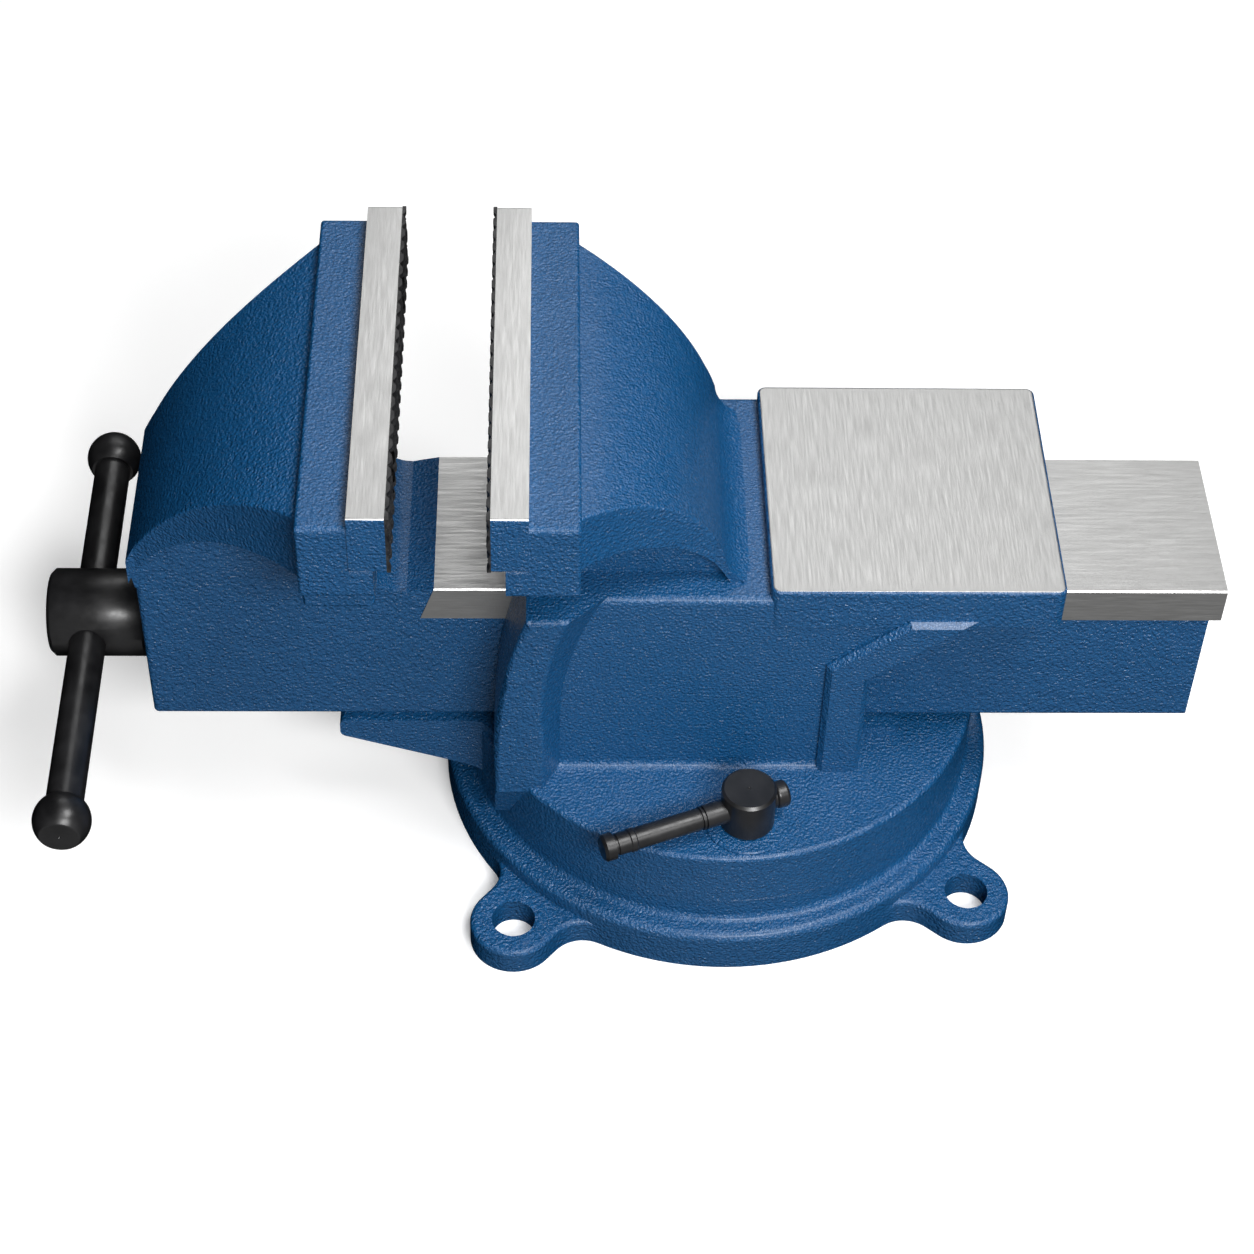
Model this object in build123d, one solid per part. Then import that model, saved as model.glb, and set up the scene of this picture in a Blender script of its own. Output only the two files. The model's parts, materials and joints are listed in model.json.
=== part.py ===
from build123d import *
from math import cos, radians, sin
import os

# Bench vise with a square beam, a swivel base and a flat anvil, in millimetres.
# +X runs from the handle to the anvil, +Z is up. The origin is the swivel axis at the bench.

# ---- clearances ----
turn_fit = 0.05        # radial, a shaft in its bore
slide_fit = 0.1        # under the beam, on its rails
side_fit = 0.2         # beside and above the slide plate
bolt_fit = 0.3         # radial, a bolt in a plain hole
loose_gap = 0.3        # between pieces that pass each other

# ---- swivel base ----
ring_radius = 98.0
ring_height = 17.0
step_radius = 90.0
step_height = 11.0
lug_count = 4
lug_overhang = 14.0    # hole centre beyond the ring
lug_radius = 15.0
lug_height = 10.5
lug_hole_radius = 7.5
lug_turn = -40.65      # direction of one lug, degrees from +X
slot_floor = 8.0
slot_cavity_height = 10.0
spigot_radius = 25.0
spigot_length = 20.0
pocket_inner_radius = 33.0
pocket_outer_radius = 57.0
pocket_roof = 9.0

# ---- swivel lock ----
lock_inset = 16.0      # lock axis inside the flange's edge
lock_direction = -85.4
lock_screw_radius = 6.0
lock_head_radius = 9.3
lock_head_height = 16.9
lock_washer_radius = 14.3
lock_washer_thickness = 1.0
t_nut_half = 9.0
t_nut_height = 8.0
lever_radius = 4.1
lever_waist = 3.8
lever_height = 8.7     # above the washer
lever_length = 67.2
lever_reach = 53.0     # from the lock axis to its far end
lever_direction = 201.5
lever_cap_radius = 4.7
lever_cap_length = 4.4
lever_knob_radius = 4.6
lever_knob_length = 4.8
lever_spigot_radius = 2.4

# ---- fixed body ----
flange_radius = 90.5
flange_height = 22.0
floor_rise = 3.5
rail_height = 2.9
rail_inner = 21.0
rail_outer = 27.5
wall_half = 49.0
body_front = -79.4
body_rear = 45.3
front_lean = 11.0      # how far the front face comes back at the deck
front_rib_proud = 10.4
front_rib_width = 16.5
front_rib_slope = 6.8
rear_rib_proud = 3.0
rear_rib_width = 14.4
knee_height = 45.4     # from the flange to where the brace leans out
knee_run = 30.0
tongue_length = 54.0
tongue_half = 32.0
tongue_nose = 7.5
tongue_flare = 9.0
floor_tail = 16.0
deck_thickness = 12.8

# ---- anvil ----
anvil_front = 10.7
anvil_length = 96.0
anvil_half = 49.6
anvil_thickness = 15.9
anvil_rise = 4.3       # above the deck

# ---- beam and slide plate ----
beam_length = 357.5
beam_half = 31.5
beam_height = 48.2
beam_wall = 11.5
beam_roof = 9.7
front_wall = 27.0
slide_half = 32.0
slide_thickness = 14.3
slide_overhang = 4.0
slide_end_slant = 5.0

# ---- jaws ----
jaw_width = 150.0
jaw_gap = 29.0
fixed_face = -80.2
jaw_rise = 61.6        # plate top above the deck
plate_thickness = 13.0
plate_height = 22.6
head_thickness = 16.0
head_inset = 0.7
head_drop = 4.9
lip_reach = 7.2
lip_height = 12.0
foot_height = 6.8      # under the moving head
foot_inset = 2.0
neck_back = 11.8       # from the gripping face to the neck
beam_set_back = 87.8   # from the gripping face to the beam's front
hood_side_inset = 7.5
hood_step = 3.2        # hood below the head's top
hood_rise = 12.0       # where the hood's curve ends, above the deck or the slide plate
moving_hood_proud = 2.0
moving_hood_dip = 0.0494  # of the hood's half width, how far its side curves in
fixed_hood_reach = 75.6  # from the gripping face
valley_run = 9.0
deck_round = 2.5
cast_round = 1.8        # on the outer edges of the castings
hood_round = 0.8
web_half = 36.0

# ---- main screw and its nut ----
screw_radius = 12.0
screw_height = 17.5    # axis above the beam's underside
screw_reach = 315.0    # from the beam's front to the tip
screw_head_radius = 15.3
screw_head_length = 34.0
screw_washer_thickness = 2.4
screw_washer_radius = 15.0
nut_length = 40.0
nut_centre = -50.0
nut_half = 17.0
nut_wall = 6.0
collar_radius = 17.5
collar_length = 10.0
spring_length = 15.0
spring_wire = 3.0
spring_washer_thickness = 2.0
pin_radius = 2.0

# ---- handle ----
bar_radius = 6.3
bar_set_back = 20.4    # from the head's inner end to the bar
bar_half = 82.9        # bar centre to each ball centre
bar_shift = -8.06
bar_tilt = 1.93
ball_radius = 9.7
ball_seat = 6.4        # ball centre to the face that the bar's shoulder meets
ball_flat = 7.0        # ball centre to its flat outer end
bar_spigot_radius = 4.5

# ---- fasteners ----
plate_screw_radius = 4.0
plate_screw_head_radius = 6.5
plate_screw_head_height = 6.0
plate_screw_sink = 1.5
plate_screw_length = 22.0
plate_screw_spread = 42.0
slide_screw_radius = 3.0
slide_screw_head_radius = 5.0
slide_screw_head_height = 5.0
slide_screw_length = 17.0
slide_screw_count = 4
nut_bolt_radius = 5.0
nut_bolt_head_radius = 8.0
nut_bolt_head_height = 9.0
nut_bolt_spread = 12.0
nut_bolt_bite = 14.0

# ---- heights and places that follow ----
base_top = ring_height + step_height
flange_top = base_top + flange_height
floor_top = flange_top + floor_rise
rail_top = floor_top + rail_height
beam_bottom = rail_top + slide_fit
beam_top = beam_bottom + beam_height
slide_top = beam_top + slide_thickness
tunnel_roof = slide_top + side_fit
tunnel_half = slide_half + side_fit
deck = tunnel_roof + deck_thickness
anvil_top = deck + anvil_rise
anvil_bottom = anvil_top - anvil_thickness
plate_top = deck + jaw_rise
plate_bottom = plate_top - plate_height
head_top = plate_top - head_drop
head_bottom = plate_bottom - lip_height
head_half = jaw_width / 2 - head_inset
hood_half = head_half - hood_side_inset
moving_face = fixed_face - jaw_gap
beam_front = moving_face - beam_set_back
beam_rear = beam_front + beam_length
screw_z = beam_bottom + screw_height
bore_roof = beam_top - beam_roof
channel_half = beam_half - beam_wall
head_inner_end = beam_front - screw_washer_thickness
bar_x = head_inner_end - bar_set_back
nut_top = min(screw_z + screw_radius + nut_wall, bore_roof - loose_gap)
lock_radius = flange_radius - lock_inset
washer_top = flange_top + lock_washer_thickness
slot_lip = slot_floor + slot_cavity_height
slot_half = t_nut_half + 2.0
lug_circle = ring_radius + lug_overhang
spring_start = beam_front + front_wall + spring_washer_thickness
collar_start = spring_start + spring_length


def block(x0, x1, y0, y1, z0, z1):
    return Pos((x0 + x1) / 2, (y0 + y1) / 2, (z0 + z1) / 2) * Box(x1 - x0, y1 - y0, z1 - z0)


def post(radius, z0, z1, x=0.0, y=0.0):
    return Pos(x, y, (z0 + z1) / 2) * Cylinder(radius, z1 - z0)


def rod_x(radius, x0, x1, y=0.0, z=0.0):
    return Pos((x0 + x1) / 2, y, z) * Rot(0, 90, 0) * Cylinder(radius, x1 - x0)


def side_slab(outline, half):
    return extrude(Plane.XZ * make_face(outline), amount=half, both=True)


def polar(radius, angle):
    return radius * cos(radians(angle)), radius * sin(radians(angle))


def annulus(inner, outer, z0, z1):
    return post(outer, z0, z1) - post(inner, z0, z1)


# ---------------------------------------------------------------- base
def round_corner(face, x, z, radius):
    corner = [v for v in face.vertices() if abs(v.X - x) < 0.01 and abs(v.Y - z) < 0.01]
    return fillet(corner, radius)


def turned_ring():
    section = make_face(Polyline((0, 0), (ring_radius, 0), (ring_radius, ring_height),
                                 (step_radius, ring_height), (step_radius, base_top),
                                 (0, base_top), (0, 0)))
    section = round_corner(section, ring_radius, ring_height, 3.0)
    section = round_corner(section, step_radius, ring_height, 2.5)
    section = round_corner(section, step_radius, base_top, 1.2)
    return revolve(Plane.XZ * section, Axis.Z)


def make_swivel_base():
    plan = Circle(ring_radius)
    for k in range(lug_count):
        turn = lug_turn + 360.0 * k / lug_count
        arm = Pos(lug_circle / 2, 0) * Rectangle(lug_circle, 2 * lug_radius)
        plan += Rot(0, 0, turn) * (arm + Pos(lug_circle, 0) * Circle(lug_radius))
    inner_corners = [v for v in plan.vertices() if abs(v.center().length - ring_radius) < 0.5]
    plan = fillet(inner_corners, 12.0)
    feet = extrude(plan, lug_height)
    feet = fillet(feet.faces().sort_by(Axis.Z)[-1].outer_wire().edges(), 1.8)
    base = feet + turned_ring()
    slot_neck = lock_screw_radius + bolt_fit
    base -= annulus(lock_radius - slot_half, lock_radius + slot_half, slot_floor, slot_lip)
    base -= annulus(lock_radius - slot_neck, lock_radius + slot_neck, slot_lip - 1, base_top + 1)
    base -= annulus(pocket_inner_radius, pocket_outer_radius, -1, base_top - pocket_roof)
    base -= post(spigot_radius + turn_fit, -1, base_top + 1)
    entry_x, entry_y = polar(lock_radius, lug_turn + 180.0 / lug_count)
    base -= post(1.42 * t_nut_half + bolt_fit, -1, slot_floor + 1, entry_x, entry_y)
    for k in range(lug_count):
        hole_x, hole_y = polar(lug_circle, lug_turn + 360.0 * k / lug_count)
        base -= post(lug_hole_radius, -1, lug_height + 1, hole_x, hole_y)
    return base


# ---------------------------------------------------------------- jaws
# A jaw is drawn with u running back from its gripping face, and z up.
def jaw_head():
    head = block(plate_thickness, plate_thickness + head_thickness, -head_half, head_half,
                 head_bottom, head_top)
    lip = block(plate_thickness - lip_reach, plate_thickness + 1.0, -head_half, head_half,
                head_bottom, plate_bottom)
    whole = head + lip
    whole = fillet(whole.edges().filter_by(Axis.X), cast_round)
    back = whole.faces().sort_by(Axis.X)[-1]
    return fillet(back.edges(), 1.2)


def head_foot():
    foot = block(plate_thickness - lip_reach, plate_thickness + head_thickness - 0.7,
                 -head_half + foot_inset, head_half - foot_inset, head_bottom - foot_height, head_bottom + 2)
    low_edges = foot.edges().group_by(Axis.Z)[0] + foot.edges().filter_by(Axis.Z)
    return fillet(low_edges, cast_round)


def jaw_hood(end_u, end_z, end_half, bulge, foot, under_head_z, under_bulge, flare_dip):
    back = plate_thickness + head_thickness
    crown = SagittaArc((back - 1, head_top - hood_step), (end_u, end_z), bulge)
    underside = SagittaArc(foot @ 1, (back - 1, under_head_z), -under_bulge)
    side = crown + foot + underside + Line(underside @ 1, crown @ 0)
    near = SagittaArc((back - 1, -hood_half), (end_u - 3, -end_half), flare_dip)
    far = SagittaArc((end_u - 3, end_half), (back - 1, hood_half), flare_dip)
    tip_u = max(end_u, (foot @ 1).X) + 5
    tip = Polyline(near @ 1, (tip_u, -end_half), (tip_u, end_half), far @ 0)
    plan = near + tip + far + Line(far @ 1, near @ 0)
    shell = side_slab(side, hood_half + 5)
    hood = shell & extrude(make_face(plan), head_top + 5)
    rims = [e for e in hood.edges() if e.length > 40 and abs(e.center().Y) > end_half
            and e.center().Z > (end_z + head_top) / 2]
    return fillet(rims, hood_round)


def jaw_web(end_u, end_z, foot_u, foot_z, half, bulge):
    back = plate_thickness + head_thickness
    crown = SagittaArc((back - 1, head_top - hood_step), (end_u, end_z), bulge)
    sides = Polyline(crown @ 1, (foot_u, foot_z), (neck_back, foot_z),
                     (neck_back, head_bottom + 2), (back - 1, head_bottom + 2), crown @ 0)
    return side_slab(crown + sides, half)


def plate_screw_holes(depth):
    holes = rod_x(plate_screw_radius + turn_fit, plate_thickness - 1, plate_thickness + depth)
    z = (plate_top + plate_bottom) / 2
    return Pos(0, plate_screw_spread, z) * holes + Pos(0, -plate_screw_spread, z) * holes


def make_jaw_plate():
    plate = block(0, plate_thickness, -jaw_width / 2, jaw_width / 2, plate_bottom, plate_top)
    plate = fillet(plate.edges().filter_by(Axis.X), 1.0)
    z = (plate_top + plate_bottom) / 2
    for y in (-plate_screw_spread, plate_screw_spread):
        plate -= rod_x(plate_screw_radius + turn_fit, -1, plate_thickness + 1, y, z)
        sink = plate_screw_sink + plate_screw_head_height
        plate -= rod_x(plate_screw_head_radius + bolt_fit, -1, sink, y, z)
    return plate


def make_plate_screws():
    z = (plate_top + plate_bottom) / 2
    neck = plate_screw_sink + plate_screw_head_height
    screw = rod_x(plate_screw_head_radius, plate_screw_sink, neck)
    screw += rod_x(plate_screw_radius, neck - 0.5, plate_screw_sink + plate_screw_length)
    socket = extrude(Plane.YZ * RegularPolygon(3.4, 6), amount=3.5)
    screw -= Pos(plate_screw_sink, 0, 0) * socket
    return [Pos(0, y, z) * screw for y in (-plate_screw_spread, plate_screw_spread)]


def facing_left(shape):
    return Pos(moving_face, 0, 0) * mirror(shape, about=Plane.YZ)


def facing_right(shape):
    return Pos(fixed_face, 0, 0) * shape


# ---------------------------------------------------------------- fixed body
def front_edge(top_inset):
    knee = (body_front + top_inset, flange_top + 8)
    top = (body_front + front_lean + top_inset, deck)
    return SagittaArc(knee, top, 3.4)


def make_walls():
    front = front_edge(0)
    outline = front + Polyline(
        front @ 1, (anvil_front + 2, deck), (anvil_front + 2, anvil_bottom + 1),
        (body_rear + knee_run, anvil_bottom + 1), (body_rear, flange_top + knee_height),
        (body_rear, base_top + 1), (body_front, base_top + 1), front @ 0)
    walls = side_slab(outline, wall_half)
    deck_edges = [e for e in walls.edges().filter_by(Axis.X) if e.center().Z > deck - 0.01]
    return fillet(deck_edges, deck_round)


def rib_outline(y, right_shift):
    front = front_edge(0)
    right = body_front + front_rib_width + right_shift
    top_right = right + front_lean - 3 + right_shift
    back = SagittaArc((top_right, deck), (right, flange_top + 24), -3.6)
    bottom = Polyline(back @ 1, (right, base_top + loose_gap), (body_front, base_top + loose_gap),
                      front @ 0)
    outline = front + Line(front @ 1, back @ 0) + back + bottom
    return Plane(origin=(0, y, 0), x_dir=(1, 0, 0), z_dir=(0, -1, 0)) * make_face(outline)


def make_front_rib():
    inner = rib_outline(-wall_half + 2, front_rib_slope)
    outer = rib_outline(-wall_half - front_rib_proud, 0)
    rib = loft([inner, outer])
    rib = fillet(rib.faces().sort_by(Axis.Y)[0].edges().filter_by(lambda e: e.length > 12), cast_round)
    edge_y = -wall_half - front_rib_proud
    foot = Polyline((edge_y - 1, flange_top - 2), (edge_y, flange_top - 2),
                    (-wall_half - 2, base_top), (edge_y - 1, base_top), (edge_y - 1, flange_top - 2))
    under_cut = extrude(Plane.YZ * make_face(foot), amount=60, both=True)
    return rib - Pos(body_front, 0, 0) * under_cut


def make_rear_rib():
    left = body_rear - rear_rib_width
    top = anvil_bottom + 3
    lean = knee_run / (anvil_bottom - flange_top - knee_height)
    rise = flange_top + knee_height + 6.5
    points = [(left, base_top + 5), (left, rise), (left + lean * (top - rise), top),
              (body_rear + lean * (top - flange_top - knee_height), top),
              (body_rear, flange_top + knee_height), (body_rear, base_top + 5), (left, base_top + 5)]
    face = Plane.XZ * make_face(Polyline(*points))
    rib = extrude(Pos(0, -wall_half + 1, 0) * face, amount=rear_rib_proud + 1)
    outer = [e for e in rib.faces().sort_by(Axis.Y)[0].edges()]
    return chamfer(outer, rear_rib_proud * 0.6)


def make_tongue():
    nose = body_front - tongue_length
    drop = tongue_length * 0.75
    side = Polyline((nose, floor_top - tongue_nose), (nose, floor_top), (body_front + 20, floor_top),
                    (body_front + 20, base_top + 1), (-flange_radius + 6, base_top + loose_gap),
                    (nose + drop * 0.9, base_top + 5.2), (nose, floor_top - tongue_nose))
    slab = side_slab(side, tongue_half + tongue_flare)
    flare = tongue_flare
    near = RadiusArc((body_front - flare, -tongue_half), (body_front, -tongue_half - flare), flare)
    far = RadiusArc((body_front, tongue_half + flare), (body_front - flare, tongue_half), flare)
    plan = (Polyline((nose, tongue_half), (nose, -tongue_half), near @ 0) + near
            + Polyline(near @ 1, (body_front + 20, -tongue_half - flare),
                       (body_front + 20, tongue_half + flare), far @ 0)
            + far + Line(far @ 1, (nose, tongue_half)))
    tongue = slab & extrude(make_face(plan), floor_top + 5)
    nose_edges = tongue.edges().filter_by(Axis.Y).group_by(Axis.X)[0]
    return fillet(nose_edges, 2.5)


def make_anvil():
    anvil = block(anvil_front, anvil_front + anvil_length, -anvil_half, anvil_half,
                  anvil_bottom, anvil_top)
    anvil = fillet(anvil.edges().filter_by(Axis.Z), 3.0)
    return fillet(anvil.faces().sort_by(Axis.Z)[-1].edges(), 1.2)


def make_fixed_hood():
    reach = fixed_hood_reach
    top = deck + hood_rise
    valley = RadiusArc((reach, top), (reach + valley_run, deck), -14)
    foot = valley + Line(valley @ 1, (reach + 3, deck - 1))
    hood = jaw_hood(reach, top, 41.0, 9.0, foot, head_bottom + 4.5, 8.8, 1.8)
    web = jaw_web(reach, top, reach, deck - 1, web_half, 9.0)
    floor = valley + Polyline(valley @ 1, (reach + valley_run, deck - 1), (reach - 3, deck - 1),
                              (reach - 3, top), valley @ 0)
    return facing_right(hood + web + side_slab(floor, web_half))


def make_fixed_body():
    flange = post(flange_radius, base_top, flange_top)
    flange = fillet(flange.edges().sort_by(Axis.Z)[-1], 1.8)
    body = flange + make_walls()
    rib = make_front_rib()
    body += rib
    body += mirror(rib, about=Plane.XZ)
    rear_rib = make_rear_rib()
    body += rear_rib
    body += mirror(rear_rib, about=Plane.XZ)
    body += make_tongue()
    tail = block(0, body_rear + floor_tail, -tunnel_half - 3, tunnel_half + 3, base_top + 1, floor_top)
    body += fillet(tail.edges().filter_by(Axis.Z), 4.0)
    corners = [e for e in body.edges().filter_by(Axis.X)
               if abs(e.center().Z - flange_top) < 0.01 and abs(abs(e.center().Y) - wall_half) < 0.01]
    body = fillet(corners, 3.0)
    body += make_anvil()
    body += facing_right(jaw_head())
    body += make_fixed_hood()
    tunnel_start = body_front - tongue_length - 5
    body -= block(tunnel_start, anvil_front + anvil_length + 60, -tunnel_half, tunnel_half,
                  floor_top, tunnel_roof)
    nose = body_front - tongue_length
    for side in (-1, 1):
        low, high = sorted((side * rail_inner, side * rail_outer))
        body += block(nose + 3, body_rear + floor_tail - 3, low, high, floor_top - 1, rail_top)
    body += post(spigot_radius, base_top - spigot_length, base_top + 1)
    body -= facing_right(plate_screw_holes(plate_screw_sink + plate_screw_length - plate_thickness + 1.5))
    for side in (-1, 1):
        bolt_x = nut_centre + side * nut_bolt_spread
        body -= post(nut_bolt_radius + bolt_fit, base_top - 1, floor_top + 1, bolt_x)
        body -= post(nut_bolt_head_radius + bolt_fit, base_top - 1,
                     base_top + nut_bolt_head_height + 1, bolt_x)
    for side in (-1, 1):
        x, y = lock_axis(side)
        body -= post(lock_screw_radius + bolt_fit, base_top - 1, flange_top + 1, x, y)
    return body


# ---------------------------------------------------------------- moving jaw and beam
def slide_front():
    return moving_face + 10.2


def make_moving_jaw():
    plate_end = slide_front()
    neck_x = moving_face - neck_back
    hollow = RadiusArc((neck_x, slide_top + hood_rise), (neck_x + 13, slide_top - 2), -13)
    outline = hollow + Polyline(
        hollow @ 1, (plate_end, slide_top),
        (plate_end - slide_end_slant, beam_top), (beam_rear, beam_top), (beam_rear, beam_bottom),
        (beam_front, beam_bottom), (beam_front, slide_top + hood_rise), hollow @ 0)
    beam = side_slab(outline, beam_half)
    front_edges = [e for e in beam.edges().filter_by(Axis.Z) if e.center().X < beam_front + 0.01]
    low_edges = [e for e in beam.edges() if e.center().Z < beam_bottom + 0.01]
    beam = fillet(front_edges + low_edges, cast_round)
    jaw = beam + facing_left(jaw_head()) + facing_left(head_foot())
    reach = beam_set_back + moving_hood_proud
    end_z = slide_top + hood_rise
    foot = Line((reach, end_z), (reach, end_z - 10))
    jaw += facing_left(jaw_hood(reach, end_z, beam_half, 8.6, foot, head_bottom, 11.7,
                                 moving_hood_dip * hood_half))
    jaw += facing_left(jaw_web(reach, end_z, beam_set_back, slide_top, beam_half, 8.6))
    inner_front = beam_front + front_wall
    jaw -= block(inner_front, beam_rear + 1, -channel_half, channel_half, beam_bottom - 1, bore_roof)
    jaw -= rod_x(screw_radius + turn_fit, beam_front - 1, inner_front + 1, 0, screw_z)
    jaw -= facing_left(plate_screw_holes(plate_screw_sink + plate_screw_length - plate_thickness + 1.5))
    for x in slide_screw_places():
        jaw -= post(slide_screw_radius + turn_fit, bore_roof - 1, beam_top + 1, x)
        jaw -= post(slide_screw_head_radius + bolt_fit, bore_roof - 1,
                    bore_roof + slide_screw_head_height, x)
    return jaw


def slide_screw_places():
    first = slide_front() + 22
    last = beam_rear - 22
    step = (last - first) / (slide_screw_count - 1)
    return [first + step * k for k in range(slide_screw_count)]


def make_slide_plate():
    front = slide_front()
    outline = Polyline((front, slide_top), (front - slide_end_slant, beam_top),
                       (beam_rear + slide_overhang, beam_top), (beam_rear + slide_overhang, slide_top),
                       (front, slide_top))
    plate = side_slab(outline, slide_half)
    plate = chamfer(plate.edges().filter_by(Axis.X), 0.5)
    tip = bore_roof + slide_screw_length + 1
    for x in slide_screw_places():
        plate -= post(slide_screw_radius + turn_fit, beam_top - 1, tip, x)
    return plate


def make_slide_screws():
    screw = post(slide_screw_head_radius, 0, slide_screw_head_height)
    screw += post(slide_screw_radius, slide_screw_head_height - 0.5, slide_screw_length)
    screw -= extrude(RegularPolygon(2.9, 6), amount=2.5)
    return [Pos(x, 0, bore_roof) * screw for x in slide_screw_places()]


# ---------------------------------------------------------------- main screw
def bar_frame():
    tilt = radians(bar_tilt)
    return Plane(origin=(bar_x, 0, screw_z), x_dir=(1, 0, 0), z_dir=(0, cos(tilt), sin(tilt)))


def make_main_screw():
    head = rod_x(screw_head_radius, head_inner_end - screw_head_length, head_inner_end, 0, screw_z)
    head = chamfer(head.edges().filter_by(GeomType.CIRCLE), 1.6)
    tip = beam_front + screw_reach
    shank = rod_x(screw_radius, head_inner_end - 1, tip, 0, screw_z)
    shank = chamfer(shank.edges().sort_by(Axis.X)[-1], 2.0)
    screw = head + shank
    screw -= bar_frame() * Cylinder(bar_radius + turn_fit, 4 * screw_head_radius)
    pin_x = collar_start + collar_length / 2
    screw -= Pos(pin_x, 0, screw_z) * Cylinder(pin_radius, 3 * collar_radius)
    return screw


def ring_x(inner, outer, x0, x1):
    return rod_x(outer, x0, x1, 0, screw_z) - rod_x(inner, x0 - 1, x1 + 1, 0, screw_z)


def make_collar():
    collar = ring_x(screw_radius, collar_radius, collar_start, collar_start + collar_length)
    pin_x = collar_start + collar_length / 2
    return collar - Pos(pin_x, 0, screw_z) * Cylinder(pin_radius, 3 * collar_radius)


def make_retaining_pin():
    return Pos(collar_start + collar_length / 2, 0, screw_z) * Cylinder(pin_radius, 2 * collar_radius)


def make_main_nut():
    nut = block(nut_centre - nut_length / 2, nut_centre + nut_length / 2, -nut_half, nut_half,
                floor_top, nut_top)
    top_edges = nut.edges().filter_by(Axis.X).group_by(Axis.Z)[-1]
    nut = chamfer(top_edges, 4.0)
    nut -= rod_x(screw_radius + turn_fit, nut_centre - nut_length, nut_centre + nut_length, 0, screw_z)
    for side in (-1, 1):
        x = nut_centre + side * nut_bolt_spread
        nut -= post(nut_bolt_radius + turn_fit, floor_top - 1, floor_top + min(nut_bolt_bite, bolt_room()), x)
    return nut


def bolt_room():
    return screw_z - screw_radius - floor_top - 2.0


def make_nut_bolts():
    low = base_top + 1
    bolt = post(nut_bolt_head_radius, low, low + nut_bolt_head_height)
    bite = min(nut_bolt_bite, bolt_room()) - 1.0
    bolt += post(nut_bolt_radius, low + nut_bolt_head_height - 0.5, floor_top + bite)
    bolt -= Pos(0, 0, low) * extrude(RegularPolygon(4.6, 6), amount=5)
    return [Pos(nut_centre + side * nut_bolt_spread, 0, 0) * bolt for side in (-1, 1)]


# ---------------------------------------------------------------- handle
def make_tommy_bar():
    low = bar_shift - bar_half
    high = bar_shift + bar_half
    middle = (low + high) / 2
    bar = Pos(0, 0, middle) * Cylinder(bar_radius, high - low - 2 * ball_seat)
    bar += Pos(0, 0, middle) * Cylinder(bar_spigot_radius, high - low)
    return bar_frame() * bar


def make_ball(side):
    ball = Sphere(ball_radius)
    ball -= Pos(0, 0, ball_radius + ball_flat) * Box(30, 30, 2 * ball_radius)
    ball = fillet(ball.edges().filter_by(GeomType.CIRCLE), 0.8)
    ball -= Pos(0, 0, ball_flat) * Cone(0.1, 0.9, 1.0)
    ball -= Pos(0, 0, -ball_radius - ball_seat) * Box(30, 30, 2 * ball_radius)
    ball -= Pos(0, 0, -ball_radius / 2) * Cylinder(bar_spigot_radius, ball_radius)
    if side < 0:
        ball = Rot(180, 0, 0) * ball
    return bar_frame() * (Pos(0, 0, bar_shift + side * bar_half) * ball)


# ---------------------------------------------------------------- swivel locks
# side is -1 for the near lock and 1 for the far one, which mirrors it
def lock_axis(side):
    return polar(lock_radius, -side * lock_direction)


def lock_place(side):
    x, y = lock_axis(side)
    return Pos(x, y, 0)


def lever_frame(side):
    along_x, along_y = polar(1.0, -side * lever_direction)
    return Plane(origin=(0, 0, washer_top + lever_height), x_dir=(0, 0, 1),
                 z_dir=(along_x, along_y, 0))


def make_lock_screw(side):
    head = post(lock_head_radius, washer_top, washer_top + lock_head_height)
    head = chamfer(head.edges().filter_by(GeomType.CIRCLE), 0.9)
    head -= Pos(0, 0, washer_top + lock_head_height) * Cone(0.1, 0.8, 1.0)
    head += post(lock_screw_radius, slot_floor + 1, washer_top + 1)
    head -= lever_frame(side) * Cylinder(lever_radius + turn_fit, 3 * lock_head_radius)
    return lock_place(side) * head


def make_lock_washer(side):
    washer = post(lock_washer_radius, flange_top, washer_top)
    washer = chamfer(washer.edges().sort_by(Axis.Z)[-1], 0.4)
    return lock_place(side) * (washer - post(lock_screw_radius + bolt_fit, 0, 100))


def make_t_nut(side):
    x, y = lock_axis(side)
    top = slot_lip - side_fit
    nut = block(-t_nut_half, t_nut_half, -t_nut_half, t_nut_half, top - t_nut_height, top)
    nut = chamfer(nut.edges().filter_by(Axis.Z), 1.0)
    nut -= post(lock_screw_radius + turn_fit, 0, 100)
    return Pos(x, y, 0) * Rot(0, 0, -side * lock_direction) * nut


# The lever is turned from bar: its section is drawn with s along it from the lock axis.
def make_lock_lever(side):
    stub = lever_reach - lever_length
    knob = stub + lever_knob_length
    cap = lever_reach - lever_cap_length
    groove = lever_waist - 0.4
    outline = Polyline(
        (0, stub + 1.2), (lever_spigot_radius, stub + 1.2), (lever_spigot_radius, knob),
        (lever_radius, knob), (lever_radius, 16.1), (groove, 16.3), (groove, 16.6),
        (lever_radius, 16.8), (lever_radius, 17.4), (groove, 17.6), (groove, 17.9),
        (lever_waist, 18.1), (lever_waist, cap - 7.4), (lever_radius, cap - 7.0),
        (lever_radius, cap - 5.4), (lever_waist, cap - 5.0), (lever_waist, cap - 0.9),
        (groove, cap - 0.6), (groove, cap), (lever_cap_radius, cap + 0.4),
        (lever_cap_radius, lever_reach - 0.9), (lever_cap_radius - 0.9, lever_reach),
        (0, lever_reach), (0, stub + 1.2))
    lever = revolve(Plane.XZ * make_face(outline), Axis.Z)
    return lock_place(side) * (lever_frame(side) * lever)


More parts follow.
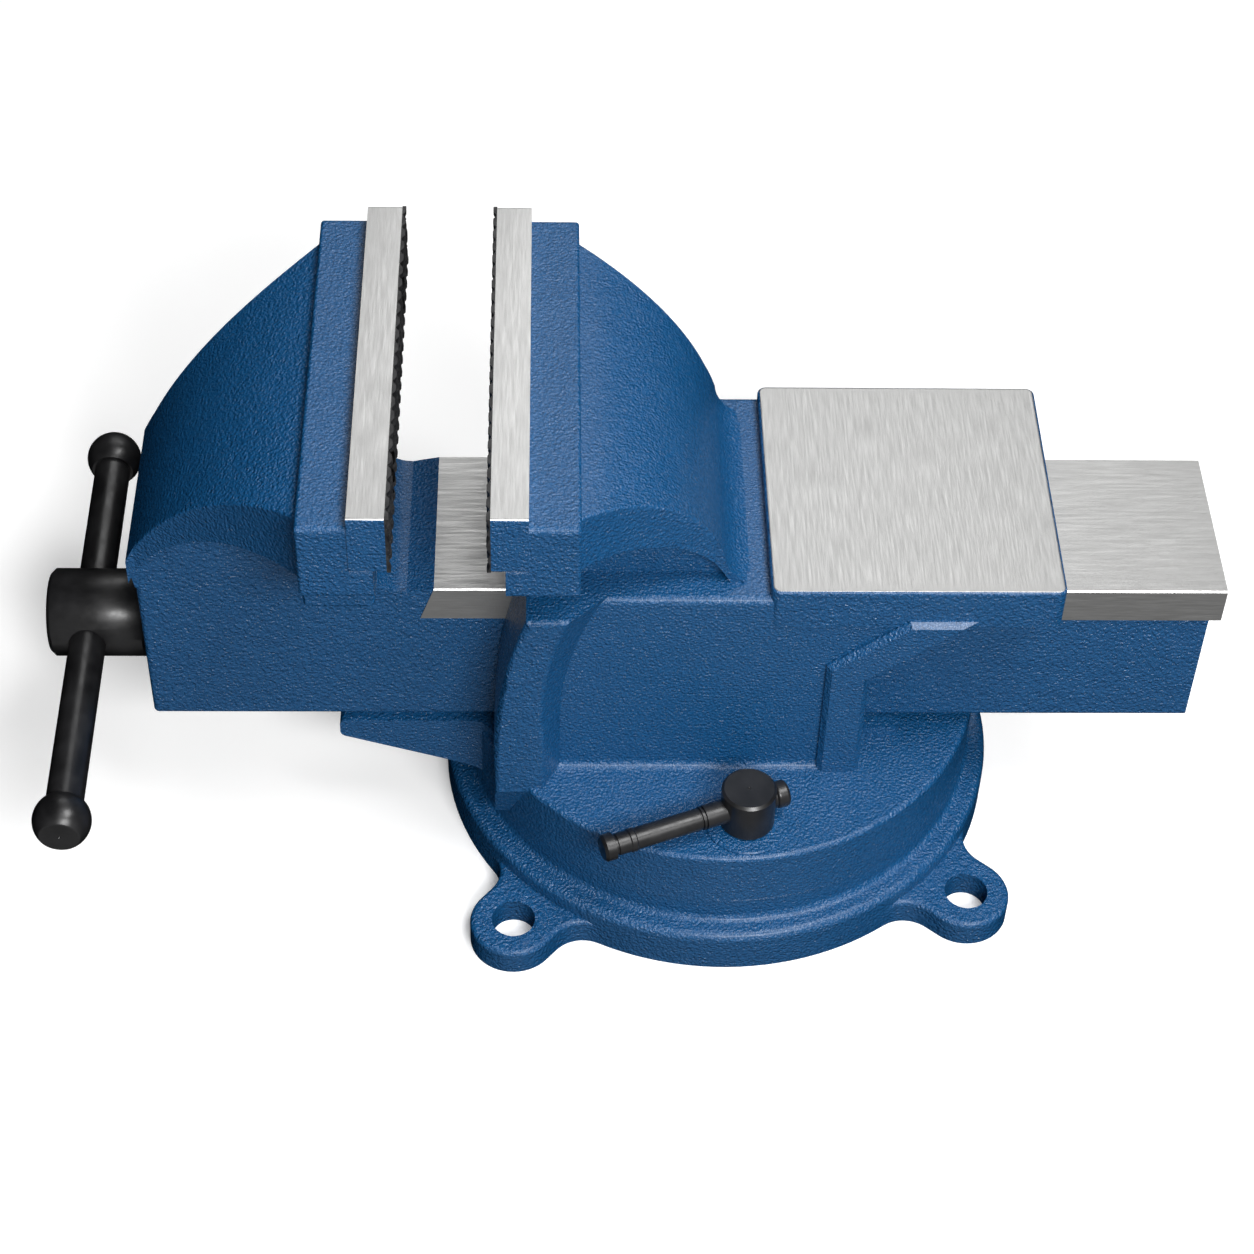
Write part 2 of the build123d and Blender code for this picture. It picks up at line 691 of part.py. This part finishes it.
def make_lock_knob(side):
    stub = lever_reach - lever_length
    knob = Pos(0, 0, stub + lever_knob_length / 2) * Cylinder(lever_knob_radius, lever_knob_length)
    knob = fillet(knob.edges().filter_by(GeomType.CIRCLE), 1.2)
    knob -= Pos(0, 0, stub + 1.2 + 5) * Cylinder(lever_spigot_radius, 10)
    return lock_place(side) * (lever_frame(side) * knob)


def save(name, shape):
    if isinstance(shape, list):
        shape = Compound(children=shape)
    export_step(shape, "parts/" + name + ".step")


def main():
    os.makedirs("parts", exist_ok=True)
    save("swivel_base", make_swivel_base())
    save("fixed_body", make_fixed_body())
    save("moving_jaw", make_moving_jaw())
    save("slide_plate", make_slide_plate())
    save("slide_plate_screws", make_slide_screws())
    save("fixed_jaw_plate", facing_right(make_jaw_plate()))
    save("moving_jaw_plate", facing_left(make_jaw_plate()))
    save("fixed_jaw_screws", [facing_right(s) for s in make_plate_screws()])
    save("moving_jaw_screws", [facing_left(s) for s in make_plate_screws()])
    save("main_nut", make_main_nut())
    save("nut_bolts", make_nut_bolts())
    save("main_screw", make_main_screw())
    save("thrust_washer", ring_x(screw_radius + turn_fit, screw_washer_radius, head_inner_end, beam_front))
    save("spring_washer", ring_x(screw_radius + turn_fit, collar_radius,
                                 beam_front + front_wall, spring_start))
    save("take_up_spring", ring_x(screw_radius + turn_fit * 6, screw_radius + spring_wire,
                                  spring_start, collar_start))
    save("retaining_collar", make_collar())
    save("retaining_pin", make_retaining_pin())
    save("tommy_bar", make_tommy_bar())
    save("tommy_ball_near", make_ball(-1))
    save("tommy_ball_far", make_ball(1))
    for name, side in (("near", -1), ("far", 1)):
        save("lock_screw_" + name, make_lock_screw(side))
        save("lock_washer_" + name, make_lock_washer(side))
        save("t_nut_" + name, make_t_nut(side))
        save("lock_lever_" + name, make_lock_lever(side))
        save("lock_knob_" + name, make_lock_knob(side))


main()
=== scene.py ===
import json
from math import cos, pi, radians, sin

import bmesh
import bpy
from mathutils import Matrix, Vector


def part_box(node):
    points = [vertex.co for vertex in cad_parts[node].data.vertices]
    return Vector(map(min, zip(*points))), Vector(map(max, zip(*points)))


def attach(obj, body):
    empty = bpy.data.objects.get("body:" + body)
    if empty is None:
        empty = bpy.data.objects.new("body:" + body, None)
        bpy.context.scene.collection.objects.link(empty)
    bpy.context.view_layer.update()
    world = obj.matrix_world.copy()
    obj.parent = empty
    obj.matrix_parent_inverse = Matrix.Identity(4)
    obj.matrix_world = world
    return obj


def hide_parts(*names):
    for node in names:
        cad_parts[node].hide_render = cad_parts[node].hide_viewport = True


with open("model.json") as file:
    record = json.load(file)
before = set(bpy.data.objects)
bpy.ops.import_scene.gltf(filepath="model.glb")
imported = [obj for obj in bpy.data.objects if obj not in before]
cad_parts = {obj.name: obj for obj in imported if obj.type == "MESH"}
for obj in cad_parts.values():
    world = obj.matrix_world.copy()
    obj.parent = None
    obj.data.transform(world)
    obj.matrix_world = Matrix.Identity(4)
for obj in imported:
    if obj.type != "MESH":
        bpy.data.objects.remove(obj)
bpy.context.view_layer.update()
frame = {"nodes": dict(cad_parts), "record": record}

# ---- places taken from the frame, in metres ----
PLATE_LOW, PLATE_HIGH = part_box("fixed_jaw_plate")
FIXED_FACE = PLATE_LOW.x
MOVING_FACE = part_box("moving_jaw_plate")[1].x

# ---- sizes of the looks, in metres ----
ANVIL_TOP = 0.1363
NEAR = 2e-4                  # a face this close to a named height belongs to it
ON_FACE = 1e-5               # a corner this close to the gripping face lies on it
WELD = 1e-6                  # corners this close are one corner
PLATE_EDGE = 8e-4            # height of the painted strip along a plate's foot

TOOTH_PITCH = 0.0064
TOOTH_DEPTH = 0.0011
TOOTH_SLANT = 0.55           # sideways run of a groove for each step up
TOOTH_SHARPNESS = 1.9        # a larger number cuts narrower grooves
TOOTH_BED = 0.0014           # thickness of the steel that the teeth are cut in
TOOTH_GAP = 0.0001           # keeps the teeth apart when the jaws are shut
TOOTH_COLUMNS = 301
TOOTH_ROWS = 46
SCREW_HOLE_PLACES = (-0.042, 0.042)
SCREW_HOLE_RADIUS = 0.0068
DRILL_LENGTH = 0.01

THREAD_RADIUS = 0.012
THREAD_LEAD = 0.006
THREAD_DEPTH = 0.0026
THREAD_CREST = 0.17          # half of a crest, as a share of the lead
THREAD_FLANK = 6.0           # steepness of a groove's flanks
THREAD_SIDES = 40
THREAD_RINGS = 344
THREAD_FROM_COLLAR = 0.003   # plain neck between the collar and the thread
THREAD_FROM_TIP = 0.002

SPRING_WIRE = 0.0013         # radius
SPRING_TURNS = 4.5

ALONG_X = (0.0, pi / 2, 0.0)    # lays a shape that stands on Z along X

# ---- finishes ----
PATTERN_LOW, PATTERN_HIGH = 0.3, 0.7    # the stretch of a noise that a finish follows
FLAT_CREASE, ROUND_CREASE, WIRE_CREASE = 8.0, 35.0, 60.0    # degrees


# ---------------------------------------------------------------- camera and light
def place_camera():
    """A long lens above and in front, rolled a little."""
    lens = bpy.data.cameras.new("camera")
    lens.lens = 80.4
    lens.sensor_width = 36.0
    lens.clip_start = 0.05
    lens.clip_end = 20.0
    azimuth, elevation, roll = radians(-2.376), radians(46.804), radians(1.897)
    distance = 0.98421
    target = Vector((-0.03359, 0.0, 0.06710))
    back = Vector((sin(azimuth) * cos(elevation), -cos(azimuth) * cos(elevation), sin(elevation)))
    level = Vector((cos(azimuth), sin(azimuth), 0.0))
    rise = back.cross(level)
    right = cos(roll) * level + sin(roll) * rise
    up = cos(roll) * rise - sin(roll) * level
    turned = Matrix((right, up, back)).transposed().to_4x4()
    camera = bpy.data.objects.new("camera", lens)
    camera.matrix_world = Matrix.Translation(target + back * distance) @ turned
    bpy.context.scene.collection.objects.link(camera)
    bpy.context.scene.camera = camera


def soft_box(name, place, aim, width, height, power):
    lamp = bpy.data.lights.new(name, "AREA")
    lamp.shape = "RECTANGLE"
    lamp.size = width
    lamp.size_y = height
    lamp.energy = power
    box = bpy.data.objects.new(name, lamp)
    box.location = place
    box.rotation_euler = (Vector(aim) - Vector(place)).to_track_quat("-Z", "Y").to_euler()
    bpy.context.scene.collection.objects.link(box)


def remap(tree, value, low, high, to_low, to_high, curve="LINEAR"):
    """value, stretched so that low to high becomes to_low to to_high."""
    node = tree.nodes.new("ShaderNodeMapRange")
    node.interpolation_type = curve
    for label, number in (("From Min", low), ("From Max", high), ("To Min", to_low), ("To Max", to_high)):
        node.inputs[label].default_value = number
    tree.links.new(value, node.inputs["Value"])
    return node.outputs["Result"]


def combine(tree, operation, first, second):
    node = tree.nodes.new("ShaderNodeMath")
    node.operation = operation
    tree.links.new(first, node.inputs[0])
    tree.links.new(second, node.inputs[1])
    return node.outputs[0]


def light_the_studio():
    """A soft tent, bright overhead and dim in front, between black flags at the left and the right."""
    world = bpy.data.worlds.new("studio")
    world.use_nodes = True
    tree = world.node_tree
    sky = tree.nodes["Background"]
    sky.inputs["Color"].default_value = (1.0, 1.0, 1.0, 1.0)
    where = tree.nodes.new("ShaderNodeTexCoord")
    split = tree.nodes.new("ShaderNodeSeparateXYZ")
    tree.links.new(where.outputs["Generated"], split.inputs[0])
    x, y, z = split.outputs
    overhead = remap(tree, z, 0.05, 0.60, 0.02, 0.75, "SMOOTHSTEP")
    left_flag = remap(tree, x, -0.18, 0.26, 0.02, 1.0, "SMOOTHSTEP")
    right_flag = remap(tree, x, 0.03, 0.42, 1.0, 0.08, "SMOOTHSTEP")
    front = remap(tree, y, -0.80, -0.15, 0.36, 0.0, "SMOOTHSTEP")
    tent = combine(tree, "MULTIPLY", combine(tree, "MULTIPLY", overhead, left_flag), right_flag)
    tree.links.new(combine(tree, "ADD", tent, front), sky.inputs["Strength"])
    bpy.context.scene.world = world
    bpy.context.scene.view_settings.view_transform = "Standard"
    soft_box("front_fill", (0.28, -1.10, 1.00), (0.0, 0.0, 0.09), 0.6, 0.3, 20.0)
    soft_box("top_back", (0.10, 0.95, 1.15), (0.0, 0.0, 0.12), 0.9, 0.5, 3.6)
    soft_box("key", (0.40, -0.25, 1.25), (0.0, 0.0, 0.1), 0.6, 0.5, 12.0)


def lay_floor():
    """A pale floor that glows a little, and throws no light on the vise."""
    bpy.ops.mesh.primitive_plane_add(size=6.0, location=(0.0, 0.0, 0.0))
    floor = bpy.context.object
    floor.name = "floor"
    pale = bpy.data.materials.new("pale_floor")
    pale.use_nodes = True
    skin = pale.node_tree.nodes["Principled BSDF"]
    skin.inputs["Base Color"].default_value = (0.92, 0.92, 0.92, 1.0)
    skin.inputs["Roughness"].default_value = 0.8
    skin.inputs["Emission Color"].default_value = (1.0, 1.0, 1.0, 1.0)
    skin.inputs["Emission Strength"].default_value = 0.22
    floor.data.materials.append(pale)
    floor.visible_diffuse = False
    floor.visible_glossy = False


# ---------------------------------------------------------------- materials
class Finish:
    """A material whose patterns are laid out in the object's own metres.

    Its plain color and roughness are what a pattern covers, and what is left where there is none."""

    def __init__(self, name, color, roughness, metallic=0.0):
        self.mat = bpy.data.materials.new(name)
        self.mat.use_nodes = True
        self.tree = self.mat.node_tree
        self.skin = self.tree.nodes["Principled BSDF"]
        self.skin.inputs["Base Color"].default_value = (*color, 1.0)
        self.skin.inputs["Roughness"].default_value = roughness
        self.skin.inputs["Metallic"].default_value = metallic
        self.space = self.tree.nodes.new("ShaderNodeTexCoord").outputs["Object"]
        self.normal = None

    def stretched(self, scale):
        node = self.tree.nodes.new("ShaderNodeMapping")
        node.inputs["Scale"].default_value = scale
        self.tree.links.new(self.space, node.inputs["Vector"])
        return node.outputs["Vector"]

    def noise(self, scale, detail=2.0, rough=0.5):
        """scale is the number of grains to the metre, along each axis."""
        node = self.tree.nodes.new("ShaderNodeTexNoise")
        node.inputs["Scale"].default_value = 1.0
        node.inputs["Detail"].default_value = detail
        node.inputs["Roughness"].default_value = rough
        self.tree.links.new(self.stretched(scale), node.inputs["Vector"])
        return node.outputs["Fac"]

    def rough_by(self, pattern, smoothest, roughest):
        spread = remap(self.tree, pattern, PATTERN_LOW, PATTERN_HIGH, smoothest, roughest)
        self.tree.links.new(spread, self.skin.inputs["Roughness"])

    def tint_by(self, pattern, dark, light, low=PATTERN_LOW):
        node = self.tree.nodes.new("ShaderNodeMix")
        node.data_type = "RGBA"
        node.inputs["A"].default_value = (*dark, 1.0)
        node.inputs["B"].default_value = (*light, 1.0)
        spread = remap(self.tree, pattern, low, PATTERN_HIGH, 0.0, 1.0)
        self.tree.links.new(spread, node.inputs["Factor"])
        self.tree.links.new(node.outputs["Result"], self.skin.inputs["Base Color"])

    def bumpy(self, pattern, strength, distance):
        """Bumps from the pattern, laid over the bumps that are already there."""
        node = self.tree.nodes.new("ShaderNodeBump")
        node.inputs["Strength"].default_value = strength
        node.inputs["Distance"].default_value = distance
        self.tree.links.new(pattern, node.inputs["Height"])
        if self.normal is not None:
            self.tree.links.new(self.normal, node.inputs["Normal"])
        self.normal = node.outputs["Normal"]
        self.tree.links.new(self.normal, self.skin.inputs["Normal"])


def even(scale):
    return (scale, scale, scale)


def hammered_enamel():
    """Blue enamel with a thin clear coat, over the grain of a sand casting."""
    paint = Finish("blue_enamel", (0.006, 0.074, 0.20), 0.36)
    paint.tint_by(paint.noise(even(900.0), 3.0), (0.0042, 0.058, 0.165), (0.0068, 0.079, 0.212))
    paint.rough_by(paint.noise(even(300.0)), 0.20, 0.30)
    paint.skin.inputs["Coat Weight"].default_value = 0.3
    paint.skin.inputs["Coat Roughness"].default_value = 0.30
    paint.bumpy(paint.noise(even(70.0), 1.0), 0.4, 0.0015)
    paint.bumpy(paint.noise(even(1000.0)), 1.0, 0.0012)
    return paint.mat


def ground_steel(name, grain, shade, cross=0.0):
    """Steel with grinding streaks. grain is the streaks' scale, and cross the strength of a finer mottle."""
    steel = Finish(name, (shade, shade, shade * 0.985), 0.34, 1.0)
    streak = steel.noise(grain, 4.0, 0.65)
    dark = (shade * 0.86, shade * 0.86, shade * 0.85)
    light = (shade * 1.06, shade * 1.06, shade * 1.05)
    steel.tint_by(streak, dark, light, low=0.32)
    steel.rough_by(steel.noise(tuple(0.5 * scale for scale in grain), 3.0), 0.34, 0.50)
    steel.bumpy(streak, 0.30, 0.00012)
    if cross:
        steel.bumpy(steel.noise(even(350.0), 3.0), cross, 0.0002)
    return steel.mat


def oxide_black():
    """The main screw, its bar, the locks, and the small screws and bolts."""
    black = Finish("black_oxide", (0.012, 0.012, 0.013), 0.36)
    black.rough_by(black.noise(even(300.0), 3.0), 0.28, 0.42)
    black.tint_by(black.noise(even(120.0), 3.0), (0.005, 0.005, 0.0055), (0.014, 0.014, 0.015))
    black.bumpy(black.noise(even(1400.0)), 0.10, 0.0001)
    return black.mat


def tooth_black():
    """Darkened steel, on the teeth of the jaw plates."""
    black = Finish("tooth_black", (0.016, 0.016, 0.017), 0.5, 0.3)
    black.rough_by(black.noise(even(600.0), 3.0), 0.4, 0.6)
    black.tint_by(black.noise(even(300.0), 3.0), (0.008, 0.008, 0.009), (0.040, 0.040, 0.041))
    return black.mat


def cast_iron():
    """Bare iron, on the nut and under the base."""
    iron = Finish("cast_iron", (0.16, 0.155, 0.15), 0.6, 0.8)
    iron.tint_by(iron.noise(even(200.0), 4.0), (0.10, 0.095, 0.09), (0.24, 0.235, 0.23))
    iron.bumpy(iron.noise(even(700.0), 3.0), 0.5, 0.0004)
    return iron.mat


def plain_steel():
    """The washers, collar, pin, spring and T nuts."""
    steel = Finish("plain_steel", (0.5, 0.5, 0.51), 0.35, 1.0)
    steel.rough_by(steel.noise(even(250.0), 3.0), 0.28, 0.45)
    steel.tint_by(steel.noise(even(90.0)), (0.40, 0.40, 0.41), (0.56, 0.56, 0.57))
    return steel.mat


# ---------------------------------------------------------------- growing repeated shapes
class Grower:
    """A geometry node tree with named inputs, that makes one plain mesh."""

    def __init__(self, name, **inputs):
        self.name = name
        self.tree = bpy.data.node_groups.new(name, "GeometryNodeTree")
        self.tree.interface.new_socket("Geometry", in_out="OUTPUT", socket_type="NodeSocketGeometry")
        self.values = {}
        for label, value in inputs.items():
            kind = "NodeSocketMaterial" if isinstance(value, bpy.types.Material) else "NodeSocketFloat"
            socket = self.tree.interface.new_socket(label, in_out="INPUT", socket_type=kind)
            self.values[socket.identifier] = value
        self.entry = self.tree.nodes.new("NodeGroupInput")

    def given(self, label):
        return self.entry.outputs[label]

    def add(self, kind, links, **settings):
        """A new node. links holds a socket or a constant for each of its inputs."""
        node = self.tree.nodes.new(kind)
        for key, value in settings.items():
            setattr(node, key, value)
        for key, value in links.items():
            if isinstance(value, bpy.types.NodeSocket):
                self.tree.links.new(value, node.inputs[key])
            else:
                node.inputs[key].default_value = value
        return node

    def math(self, operation, a, b):
        return self.add("ShaderNodeMath", {0: a, 1: b}, operation=operation).outputs[0]

    def corners(self):
        """Where each corner is."""
        return self.add("GeometryNodeInputPosition", {}).outputs[0]

    def split(self, place):
        """The three sockets X, Y and Z of a place."""
        return self.add("ShaderNodeSeparateXYZ", {0: place}).outputs

    def mesh(self, shape):
        solid = self.add("GeometryNodeRealizeInstances", {0: shape}).outputs[0]
        painted = self.add("GeometryNodeSetMaterial", {"Geometry": solid, "Material": self.given("finish")})
        leave = self.tree.nodes.new("NodeGroupOutput")
        self.tree.links.new(painted.outputs[0], leave.inputs[0])
        host = bpy.data.objects.new(self.name, bpy.data.meshes.new(self.name))
        bpy.context.scene.collection.objects.link(host)
        grow = host.modifiers.new("grow", "NODES")
        grow.node_group = self.tree
        for key, value in self.values.items():
            grow[key] = value
        graph = bpy.context.evaluated_depsgraph_get()
        made = bpy.data.meshes.new_from_object(host.evaluated_get(graph))
        host.modifiers.remove(grow)
        bpy.data.objects.remove(host)
        return made


def merged_copy(node):
    """A copy of a CAD node's mesh, with its loose triangles joined."""
    bm = bmesh.new()
    bm.from_mesh(frame["nodes"][node].data)
    bmesh.ops.remove_doubles(bm, verts=bm.verts, dist=WELD)
    return bm


def show(name, mesh, body, stands_for, crease=ROUND_CREASE):
    piece = bpy.data.objects.new(name, mesh)
    bpy.context.scene.collection.objects.link(piece)
    for face in mesh.polygons:
        face.use_smooth = True
    mesh.set_sharp_from_angle(angle=radians(crease))
    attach(piece, body)
    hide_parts(stands_for)


def crossed_teeth(finish, face_x, away):
    """Teeth cut by two families of slanted V grooves.

    away is +1 or -1, from the gripping face into the plate."""
    grower = Grower("crossed_teeth", pitch=TOOTH_PITCH, depth=TOOTH_DEPTH, slant=TOOTH_SLANT,
                    sharpness=TOOTH_SHARPNESS, finish=finish)
    block = grower.add("GeometryNodeMeshCube", {
        "Size": (TOOTH_BED - TOOTH_GAP, PLATE_HIGH.y - PLATE_LOW.y, PLATE_HIGH.z - PLATE_LOW.z),
        "Vertices X": 2, "Vertices Y": TOOTH_COLUMNS, "Vertices Z": TOOTH_ROWS})
    x, y, z = grower.split(grower.corners())
    along = grower.math("DIVIDE", y, grower.given("pitch"))
    height = grower.math("DIVIDE", z, grower.given("pitch"))
    up = grower.math("MULTIPLY", height, grower.given("slant"))
    waves = [grower.math("PINGPONG", grower.math(lean, along, up), 0.5) for lean in ("ADD", "SUBTRACT")]
    ridge = grower.math("MULTIPLY", grower.math("MINIMUM", waves[0], waves[1]), 2.0)
    rise = grower.math("MULTIPLY", ridge, grower.given("sharpness"))
    cut = grower.math("MAXIMUM", grower.math("SUBTRACT", 1.0, rise), 0.0)
    sunk = grower.math("MULTIPLY", grower.math("MULTIPLY", cut, grower.given("depth")), away)
    front = grower.math("LESS_THAN", grower.math("MULTIPLY", x, away), 0.0)
    shift = grower.add("ShaderNodeCombineXYZ", {"X": sunk}).outputs[0]
    toothed = grower.add("GeometryNodeSetPosition", {
        "Geometry": block.outputs["Mesh"], "Selection": front, "Offset": shift})
    middle_x = face_x + away * (TOOTH_BED + TOOTH_GAP) / 2
    middle_z = (PLATE_LOW.z + PLATE_HIGH.z) / 2
    moved = grower.add("GeometryNodeTransform", {
        "Geometry": toothed.outputs[0], "Translation": (middle_x, 0.0, middle_z)})
    drill = grower.add("GeometryNodeMeshCylinder", {
        "Vertices": 48, "Radius": SCREW_HOLE_RADIUS, "Depth": DRILL_LENGTH})
    holes = grower.add("GeometryNodeJoinGeometry", {})
    for middle_y in SCREW_HOLE_PLACES:
        hole = grower.add("GeometryNodeTransform", {
            "Geometry": drill.outputs["Mesh"], "Translation": (middle_x, middle_y, middle_z),
            "Rotation": ALONG_X})
        grower.tree.links.new(hole.outputs[0], holes.inputs[0])
    drilled = grower.add("GeometryNodeMeshBoolean", {"Mesh 1": moved.outputs[0], "Mesh 2": holes.outputs[0]},
                         operation="DIFFERENCE")
    return grower.mesh(drilled.outputs["Mesh"])


def plate_with_teeth(node, face_x, away, enamel, steel, teeth):
    """The plate's own outline, set back behind the teeth, painted at its two ends and along its foot."""
    bm = merged_copy(node)
    for corner in bm.verts:
        if abs(corner.co.x - face_x) < ON_FACE:
            corner.co.x = face_x + away * TOOTH_BED
    for face in bm.faces:
        middle = face.calc_center_median()
        painted = abs(middle.y) > PLATE_HIGH.y - NEAR or middle.z < PLATE_LOW.z + PLATE_EDGE
        face.material_index = 0 if painted else 1
    outline_faces = len(bm.faces)
    bm.from_mesh(crossed_teeth(teeth, face_x, away))
    bm.faces.ensure_lookup_table()
    for face in bm.faces[outline_faces:]:
        face.material_index = 2
    mesh = bpy.data.meshes.new(node + "_look")
    bm.to_mesh(mesh)
    bm.free()
    for mat in (enamel, steel, teeth):
        mesh.materials.append(mat)
    return mesh


def screw_thread(finish, start, end, axis_z):
    """A trapezoid thread along X, pressed into a plain rod as a helix."""
    grower = Grower("screw_thread", lead=THREAD_LEAD, depth=THREAD_DEPTH, finish=finish)
    rod = grower.add("GeometryNodeMeshCylinder", {
        "Vertices": THREAD_SIDES, "Side Segments": THREAD_RINGS, "Radius": THREAD_RADIUS,
        "Depth": end - start})
    place = grower.corners()
    x, y, z = grower.split(place)
    angle = grower.math("DIVIDE", grower.math("ARCTAN2", y, x), 2 * pi)
    turns = grower.math("SUBTRACT", grower.math("DIVIDE", z, grower.given("lead")), angle)
    wave = grower.math("SUBTRACT", grower.math("PINGPONG", turns, 0.5), THREAD_CREST)
    slope = grower.math("MULTIPLY", wave, THREAD_FLANK)
    groove = grower.math("MINIMUM", grower.math("MAXIMUM", slope, 0.0), 1.0)
    sunk = grower.math("DIVIDE", grower.math("MULTIPLY", groove, grower.given("depth")), THREAD_RADIUS)
    shrink = grower.math("SUBTRACT", 1.0, sunk)
    scale = grower.add("ShaderNodeCombineXYZ", {"X": shrink, "Y": shrink, "Z": 1.0}).outputs[0]
    spot = grower.add("ShaderNodeVectorMath", {0: place, 1: scale}, operation="MULTIPLY").outputs[0]
    cut = grower.add("GeometryNodeSetPosition", {"Geometry": rod.outputs["Mesh"], "Position": spot})
    laid = grower.add("GeometryNodeTransform", {
        "Geometry": cut.outputs[0], "Translation": ((start + end) / 2, 0.0, axis_z), "Rotation": ALONG_X})
    return grower.mesh(laid.outputs[0])


def threaded_screw(finish):
    """The screw's head and plain neck, closed at the cut, then the thread to its tip."""
    low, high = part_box("main_screw")
    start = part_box("retaining_collar")[1].x + THREAD_FROM_COLLAR
    end = high.x - THREAD_FROM_TIP
    thread = screw_thread(finish, start, end, (low.z + high.z) / 2)
    bm = merged_copy("main_screw")
    every = bm.verts[:] + bm.edges[:] + bm.faces[:]
    sliced = bmesh.ops.bisect_plane(
        bm, geom=every, plane_co=(start, 0, 0), plane_no=(1, 0, 0), clear_outer=True)
    rim = [edge for edge in sliced["geom_cut"] if isinstance(edge, bmesh.types.BMEdge)]
    bmesh.ops.edgeloop_fill(bm, edges=rim)
    bm.from_mesh(thread)
    mesh = bpy.data.meshes.new("threaded_screw")
    bm.to_mesh(mesh)
    bm.free()
    mesh.materials.append(finish)
    return mesh


def coil_spring(finish):
    """Round wire wound along X, as wide and as long as the spring's CAD node."""
    low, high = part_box("take_up_spring")
    grower = Grower("coil_spring", turns=SPRING_TURNS, wire=SPRING_WIRE, finish=finish)
    coil = grower.add("GeometryNodeCurveSpiral", {
        "Resolution": 36, "Rotations": grower.given("turns"), "Start Radius": high.y - SPRING_WIRE,
        "End Radius": high.y - SPRING_WIRE, "Height": high.x - low.x - 2 * SPRING_WIRE})
    ring = grower.add("GeometryNodeCurvePrimitiveCircle", {"Resolution": 14, "Radius": grower.given("wire")})
    tube = grower.add("GeometryNodeCurveToMesh", {
        "Curve": coil.outputs["Curve"], "Profile Curve": ring.outputs["Curve"], "Fill Caps": True})
    axis_z = (low.z + high.z) / 2
    laid = grower.add("GeometryNodeTransform", {
        "Geometry": tube.outputs[0], "Translation": (low.x + SPRING_WIRE, 0.0, axis_z), "Rotation": ALONG_X})
    return grower.mesh(laid.outputs[0])


# ---------------------------------------------------------------- putting it together
def paint(name, *mats):
    """The CAD node takes these materials, with the first one all over."""
    data = frame["nodes"][name].data
    data.materials.clear()
    for mat in mats:
        data.materials.append(mat)
    for face in data.polygons:
        face.material_index = 0


def paint_where(name, test, index):
    for face in frame["nodes"][name].data.polygons:
        if test(face.center, face.normal):
            face.material_index = index


place_camera()
light_the_studio()
lay_floor()
enamel = hammered_enamel()
across_the_vise = (3800.0, 170.0, 3800.0)    # how the grinding streaks run
along_the_vise = (130.0, 2300.0, 2300.0)
anvil_steel = ground_steel("anvil_steel", across_the_vise, 0.46)
plate_steel = ground_steel("plate_steel", across_the_vise, 0.56)
slide_steel = ground_steel("slide_steel", along_the_vise, 0.47, cross=0.15)
black = oxide_black()
teeth = tooth_black()
iron = cast_iron()
zinc = plain_steel()
by_slot = {"blue_paint": enamel, "machined_steel": slide_steel, "jaw_steel": plate_steel,
           "black_oxide": black, "nut_iron": iron, "zinc_steel": zinc}
for part in frame["record"]["subparts"]:
    paint(part["node"], by_slot[part["material_slot"]])
paint("fixed_body", enamel, anvil_steel)
paint_where("fixed_body", lambda centre, normal: normal.z > 0.9 and abs(centre.z - ANVIL_TOP) < NEAR, 1)
paint("swivel_base", enamel, iron)
paint_where("swivel_base", lambda centre, normal: normal.z < -0.9 and centre.z < NEAR, 1)

fixed_plate = plate_with_teeth("fixed_jaw_plate", FIXED_FACE, 1.0, enamel, plate_steel, teeth)
moving_plate = plate_with_teeth("moving_jaw_plate", MOVING_FACE, -1.0, enamel, plate_steel, teeth)
show("fixed_jaw_plate_look", fixed_plate, "swivel_body", "fixed_jaw_plate", FLAT_CREASE)
show("moving_jaw_plate_look", moving_plate, "moving_jaw", "moving_jaw_plate", FLAT_CREASE)
show("main_screw_look", threaded_screw(black), "main_screw", "main_screw")
show("take_up_spring_look", coil_spring(zinc), "moving_jaw", "take_up_spring", WIRE_CREASE)
